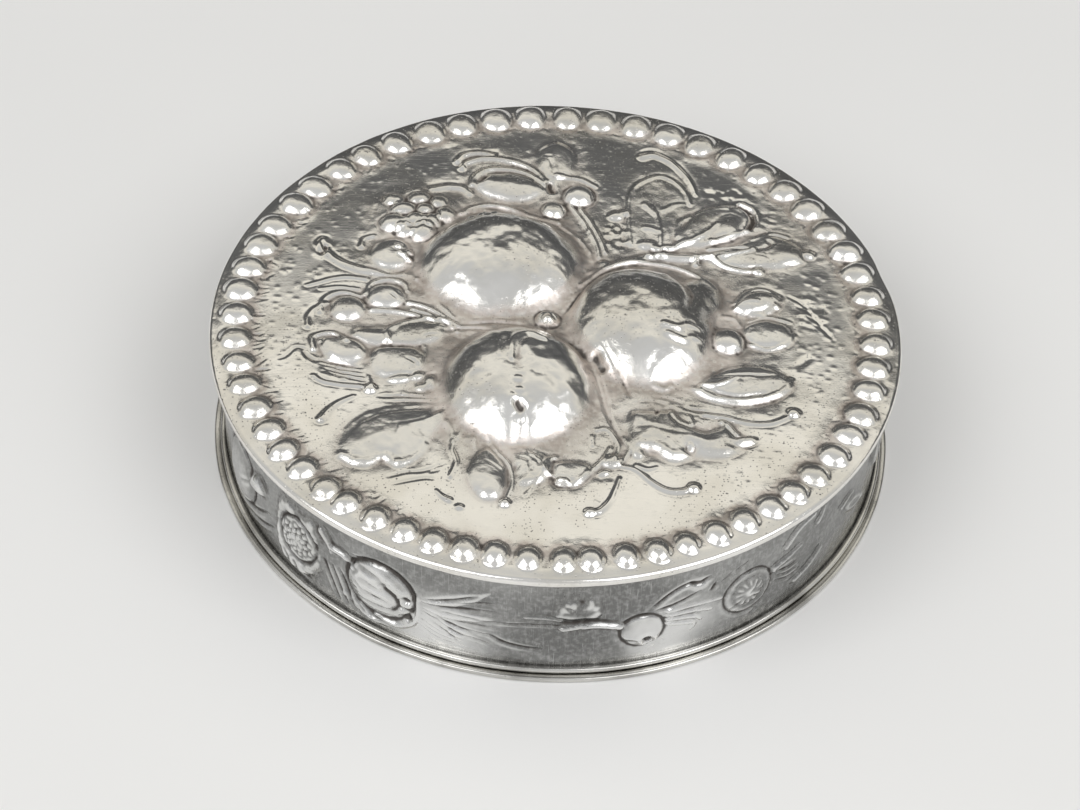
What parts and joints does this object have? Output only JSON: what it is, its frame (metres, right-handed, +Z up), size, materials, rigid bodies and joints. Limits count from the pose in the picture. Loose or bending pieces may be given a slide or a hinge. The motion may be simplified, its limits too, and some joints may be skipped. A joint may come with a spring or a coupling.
{
  "type": "lidded box",
  "caption": "Round low silver box for keepsakes, with a pull-off lid embossed with fruit, leaves and a beaded border, a chased wall and a stepped foot.",
  "frame": {"origin": "centre of the flat underside, on the surface the box stands on", "axes": "+Z up through the lid; -Y is the front, the side of the lid's picture that faces the viewer; +X to the right"},
  "size_m": [0.09, 0.09, 0.0231],
  "materials": {
    "embossed_silver": "hand-worked silver, polished on the high places, tarnished in the hollows",
    "chased_silver": "satin silver with fine upright scratches and chased lines",
    "wire_silver": "bright polished silver, worn along the edges",
    "plain_silver": "plain silver sheet, finely scratched"
  },
  "bodies": {
    "box": {"wall_band": "chased_silver", "base_plate": "plain_silver", "foot_flange": "wire_silver", "foot_step_wire": "wire_silver"},
    "lid": {"lid_plate": "embossed_silver", "lid_rim_wire": "wire_silver", "lid_bezel": "plain_silver"}
  },
  "joints": [
    {"name": "lid_lift", "type": "slide", "parent": "box", "child": "lid", "axis": [0, 0, 1], "range_m": [0, 0.05]}
  ]
}
